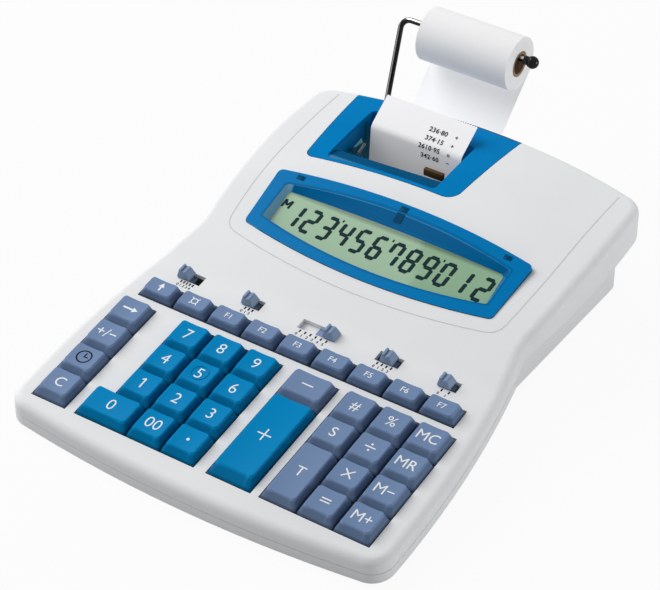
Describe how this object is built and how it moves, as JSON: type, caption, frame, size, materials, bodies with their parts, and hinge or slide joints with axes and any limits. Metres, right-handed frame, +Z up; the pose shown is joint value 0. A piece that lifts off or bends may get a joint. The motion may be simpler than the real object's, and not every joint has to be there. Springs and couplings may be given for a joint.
{
  "type": "printing desk calculator",
  "caption": "Desk calculator with sprung keys, slide switches, a sloped display and a printer fed from a paper roll on a wire arm.",
  "frame": {"origin": "middle of the whole footprint, roll included, on the desk", "axes": "+X to the right of a user at the keys, +Y from the front edge back to the roll, +Z up"},
  "size_m": [0.2234, 0.3292, 0.1016],
  "materials": {
    "case_plastic": "satin off-white",
    "slate_key": "satin",
    "blue_key": "satin",
    "blue_window": "gloss, tinted clear",
    "lcd_glass": "gloss",
    "paper": "matte",
    "card": "matte",
    "wire": "polished",
    "black_plastic": "gloss",
    "dark_plastic": "matte",
    "platen_rubber": "matte",
    "mat_rubber": "matte",
    "board": "satin",
    "screw_steel": "plated"
  },
  "bodies": {
    "case": {"upper_case": "case_plastic", "lower_case": "case_plastic", "display_window": "blue_window", "display_glass": "lcd_glass", "paper_web": "paper", "paper_arm": "wire", "arm_knob": "black_plastic", "printer_frame": "dark_plastic", "key_mat": "mat_rubber", "main_board": "board", "rubber_feet": "platen_rubber", "case_screws": "screw_steel"},
    "roll": {"paper_roll": "paper", "roll_core": "card"},
    "platen": {"platen_roller": "platen_rubber"},
    "carriage": {"print_carriage": "dark_plastic"},
    "cover": {"printer_cover": "blue_window"},
    "key_backspace": {"key_backspace": "slate_key"},
    "key_sign": {"key_sign": "slate_key"},
    "key_clock": {"key_clock": "slate_key"},
    "key_clear": {"key_clear": "slate_key"},
    "key_0": {"key_0": "blue_key"},
    "key_1": {"key_1": "blue_key"},
    "key_2": {"key_2": "blue_key"},
    "key_3": {"key_3": "blue_key"},
    "key_4": {"key_4": "blue_key"},
    "key_5": {"key_5": "blue_key"},
    "key_6": {"key_6": "blue_key"},
    "key_7": {"key_7": "blue_key"},
    "key_8": {"key_8": "blue_key"},
    "key_9": {"key_9": "blue_key"},
    "key_00": {"key_00": "blue_key"},
    "key_point": {"key_point": "blue_key"},
    "key_minus": {"key_minus": "slate_key"},
    "key_plus": {"key_plus": "blue_key"},
    "key_number_mark": {"key_number_mark": "slate_key"},
    "key_percent": {"key_percent": "slate_key"},
    "key_memory_clear": {"key_memory_clear": "slate_key"},
    "key_subtotal": {"key_subtotal": "slate_key"},
    "key_divide": {"key_divide": "slate_key"},
    "key_memory_recall": {"key_memory_recall": "slate_key"},
    "key_times": {"key_times": "slate_key"},
    "key_memory_minus": {"key_memory_minus": "slate_key"},
    "key_equals": {"key_equals": "slate_key"},
    "key_memory_plus": {"key_memory_plus": "slate_key"},
    "key_total": {"key_total": "slate_key"},
    "key_feed": {"key_feed": "slate_key"},
    "key_currency": {"key_currency": "slate_key"},
    "key_function_1": {"key_function_1": "slate_key"},
    "key_function_2": {"key_function_2": "slate_key"},
    "key_function_3": {"key_function_3": "slate_key"},
    "key_function_4": {"key_function_4": "slate_key"},
    "key_function_5": {"key_function_5": "slate_key"},
    "key_function_6": {"key_function_6": "slate_key"},
    "key_function_7": {"key_function_7": "slate_key"},
    "switch_knob_1": {"switch_knob_1": "slate_key"},
    "switch_knob_2": {"switch_knob_2": "slate_key"},
    "switch_knob_3": {"switch_knob_3": "slate_key"},
    "switch_knob_4": {"switch_knob_4": "slate_key"},
    "switch_knob_5": {"switch_knob_5": "slate_key"}
  },
  "joints": [
    {"name": "key_backspace_press", "type": "slide", "parent": "case", "child": "key_backspace", "axis": [0, 0.1495, -0.9888], "range_m": [0, 0.0025], "stiffness_N_per_m": 200, "springref_m": -0.001},
    {"name": "key_sign_press", "type": "slide", "parent": "case", "child": "key_sign", "axis": [0, 0.1495, -0.9888], "range_m": [0, 0.0025], "stiffness_N_per_m": 200, "springref_m": -0.001},
    {"name": "key_clock_press", "type": "slide", "parent": "case", "child": "key_clock", "axis": [0, 0.1495, -0.9888], "range_m": [0, 0.0025], "stiffness_N_per_m": 200, "springref_m": -0.001},
    {"name": "key_clear_press", "type": "slide", "parent": "case", "child": "key_clear", "axis": [0, 0.1495, -0.9888], "range_m": [0, 0.0025], "stiffness_N_per_m": 200, "springref_m": -0.001},
    {"name": "key_0_press", "type": "slide", "parent": "case", "child": "key_0", "axis": [0, 0.1495, -0.9888], "range_m": [0, 0.0025], "stiffness_N_per_m": 200, "springref_m": -0.001},
    {"name": "key_1_press", "type": "slide", "parent": "case", "child": "key_1", "axis": [0, 0.1495, -0.9888], "range_m": [0, 0.0025], "stiffness_N_per_m": 200, "springref_m": -0.001},
    {"name": "key_2_press", "type": "slide", "parent": "case", "child": "key_2", "axis": [0, 0.1495, -0.9888], "range_m": [0, 0.0025], "stiffness_N_per_m": 200, "springref_m": -0.001},
    {"name": "key_3_press", "type": "slide", "parent": "case", "child": "key_3", "axis": [0, 0.1495, -0.9888], "range_m": [0, 0.0025], "stiffness_N_per_m": 200, "springref_m": -0.001},
    {"name": "key_4_press", "type": "slide", "parent": "case", "child": "key_4", "axis": [0, 0.1495, -0.9888], "range_m": [0, 0.0025], "stiffness_N_per_m": 200, "springref_m": -0.001},
    {"name": "key_5_press", "type": "slide", "parent": "case", "child": "key_5", "axis": [0, 0.1495, -0.9888], "range_m": [0, 0.0025], "stiffness_N_per_m": 200, "springref_m": -0.001},
    {"name": "key_6_press", "type": "slide", "parent": "case", "child": "key_6", "axis": [0, 0.1495, -0.9888], "range_m": [0, 0.0025], "stiffness_N_per_m": 200, "springref_m": -0.001},
    {"name": "key_7_press", "type": "slide", "parent": "case", "child": "key_7", "axis": [0, 0.1495, -0.9888], "range_m": [0, 0.0025], "stiffness_N_per_m": 200, "springref_m": -0.001},
    {"name": "key_8_press", "type": "slide", "parent": "case", "child": "key_8", "axis": [0, 0.1495, -0.9888], "range_m": [0, 0.0025], "stiffness_N_per_m": 200, "springref_m": -0.001},
    {"name": "key_9_press", "type": "slide", "parent": "case", "child": "key_9", "axis": [0, 0.1495, -0.9888], "range_m": [0, 0.0025], "stiffness_N_per_m": 200, "springref_m": -0.001},
    {"name": "key_00_press", "type": "slide", "parent": "case", "child": "key_00", "axis": [0, 0.1495, -0.9888], "range_m": [0, 0.0025], "stiffness_N_per_m": 200, "springref_m": -0.001},
    {"name": "key_point_press", "type": "slide", "parent": "case", "child": "key_point", "axis": [0, 0.1495, -0.9888], "range_m": [0, 0.0025], "stiffness_N_per_m": 200, "springref_m": -0.001},
    {"name": "key_minus_press", "type": "slide", "parent": "case", "child": "key_minus", "axis": [0, 0.1495, -0.9888], "range_m": [0, 0.0025], "stiffness_N_per_m": 200, "springref_m": -0.001},
    {"name": "key_plus_press", "type": "slide", "parent": "case", "child": "key_plus", "axis": [0, 0.1495, -0.9888], "range_m": [0, 0.0025], "stiffness_N_per_m": 200, "springref_m": -0.001},
    {"name": "key_number_mark_press", "type": "slide", "parent": "case", "child": "key_number_mark", "axis": [0, 0.1495, -0.9888], "range_m": [0, 0.0025], "stiffness_N_per_m": 200, "springref_m": -0.001},
    {"name": "key_percent_press", "type": "slide", "parent": "case", "child": "key_percent", "axis": [0, 0.1495, -0.9888], "range_m": [0, 0.0025], "stiffness_N_per_m": 200, "springref_m": -0.001},
    {"name": "key_memory_clear_press", "type": "slide", "parent": "case", "child": "key_memory_clear", "axis": [0, 0.1495, -0.9888], "range_m": [0, 0.0025], "stiffness_N_per_m": 200, "springref_m": -0.001},
    {"name": "key_subtotal_press", "type": "slide", "parent": "case", "child": "key_subtotal", "axis": [0, 0.1495, -0.9888], "range_m": [0, 0.0025], "stiffness_N_per_m": 200, "springref_m": -0.001},
    {"name": "key_divide_press", "type": "slide", "parent": "case", "child": "key_divide", "axis": [0, 0.1495, -0.9888], "range_m": [0, 0.0025], "stiffness_N_per_m": 200, "springref_m": -0.001},
    {"name": "key_memory_recall_press", "type": "slide", "parent": "case", "child": "key_memory_recall", "axis": [0, 0.1495, -0.9888], "range_m": [0, 0.0025], "stiffness_N_per_m": 200, "springref_m": -0.001},
    {"name": "key_times_press", "type": "slide", "parent": "case", "child": "key_times", "axis": [0, 0.1495, -0.9888], "range_m": [0, 0.0025], "stiffness_N_per_m": 200, "springref_m": -0.001},
    {"name": "key_memory_minus_press", "type": "slide", "parent": "case", "child": "key_memory_minus", "axis": [0, 0.1495, -0.9888], "range_m": [0, 0.0025], "stiffness_N_per_m": 200, "springref_m": -0.001},
    {"name": "key_equals_press", "type": "slide", "parent": "case", "child": "key_equals", "axis": [0, 0.1495, -0.9888], "range_m": [0, 0.0025], "stiffness_N_per_m": 200, "springref_m": -0.001},
    {"name": "key_memory_plus_press", "type": "slide", "parent": "case", "child": "key_memory_plus", "axis": [0, 0.1495, -0.9888], "range_m": [0, 0.0025], "stiffness_N_per_m": 200, "springref_m": -0.001},
    {"name": "key_total_press", "type": "slide", "parent": "case", "child": "key_total", "axis": [0, 0.1495, -0.9888], "range_m": [0, 0.0025], "stiffness_N_per_m": 200, "springref_m": -0.001},
    {"name": "key_feed_press", "type": "slide", "parent": "case", "child": "key_feed", "axis": [0, 0.1495, -0.9888], "range_m": [0, 0.0025], "stiffness_N_per_m": 200, "springref_m": -0.001},
    {"name": "key_currency_press", "type": "slide", "parent": "case", "child": "key_currency", "axis": [0, 0.1495, -0.9888], "range_m": [0, 0.0025], "stiffness_N_per_m": 200, "springref_m": -0.001},
    {"name": "key_function_1_press", "type": "slide", "parent": "case", "child": "key_function_1", "axis": [0, 0.1495, -0.9888], "range_m": [0, 0.0025], "stiffness_N_per_m": 200, "springref_m": -0.001},
    {"name": "key_function_2_press", "type": "slide", "parent": "case", "child": "key_function_2", "axis": [0, 0.1495, -0.9888], "range_m": [0, 0.0025], "stiffness_N_per_m": 200, "springref_m": -0.001},
    {"name": "key_function_3_press", "type": "slide", "parent": "case", "child": "key_function_3", "axis": [0, 0.1495, -0.9888], "range_m": [0, 0.0025], "stiffness_N_per_m": 200, "springref_m": -0.001},
    {"name": "key_function_4_press", "type": "slide", "parent": "case", "child": "key_function_4", "axis": [0, 0.1495, -0.9888], "range_m": [0, 0.0025], "stiffness_N_per_m": 200, "springref_m": -0.001},
    {"name": "key_function_5_press", "type": "slide", "parent": "case", "child": "key_function_5", "axis": [0, 0.1495, -0.9888], "range_m": [0, 0.0025], "stiffness_N_per_m": 200, "springref_m": -0.001},
    {"name": "key_function_6_press", "type": "slide", "parent": "case", "child": "key_function_6", "axis": [0, 0.1495, -0.9888], "range_m": [0, 0.0025], "stiffness_N_per_m": 200, "springref_m": -0.001},
    {"name": "key_function_7_press", "type": "slide", "parent": "case", "child": "key_function_7", "axis": [0, 0.1495, -0.9888], "range_m": [0, 0.0025], "stiffness_N_per_m": 200, "springref_m": -0.001},
    {"name": "switch_1_slide", "type": "slide", "parent": "case", "child": "switch_knob_1", "axis": [1, 0, 0], "range_m": [0, 0.0073]},
    {"name": "switch_2_slide", "type": "slide", "parent": "case", "child": "switch_knob_2", "axis": [1, 0, 0], "range_m": [0, 0.0045]},
    {"name": "switch_3_slide", "type": "slide", "parent": "case", "child": "switch_knob_3", "axis": [1, 0, 0], "range_m": [-0.0159, 0]},
    {"name": "switch_4_slide", "type": "slide", "parent": "case", "child": "switch_knob_4", "axis": [1, 0, 0], "range_m": [-0.004, 0.004]},
    {"name": "switch_5_slide", "type": "slide", "parent": "case", "child": "switch_knob_5", "axis": [1, 0, 0], "range_m": [0, 0.0041]},
    {"name": "roll_spin", "type": "hinge", "parent": "case", "child": "roll", "pos_m": [-0.0295, 0.1494, 0.0864], "axis": [1, 0, 0], "continuous": true},
    {"name": "platen_spin", "type": "hinge", "parent": "case", "child": "platen", "pos_m": [-0.0295, 0.0954, 0.022], "axis": [1, 0, 0], "continuous": true},
    {"name": "carriage_slide", "type": "slide", "parent": "case", "child": "carriage", "axis": [1, 0, 0], "range_m": [-0.036, 0]},
    {"name": "cover_lift", "type": "slide", "parent": "case", "child": "cover", "axis": [0, 0.766, 0.6428], "range_m": [0, 0.01]}
  ],
  "couplings": [
    {"joint": "platen_spin", "follows": "roll_spin", "ratio": 2.3385}
  ]
}
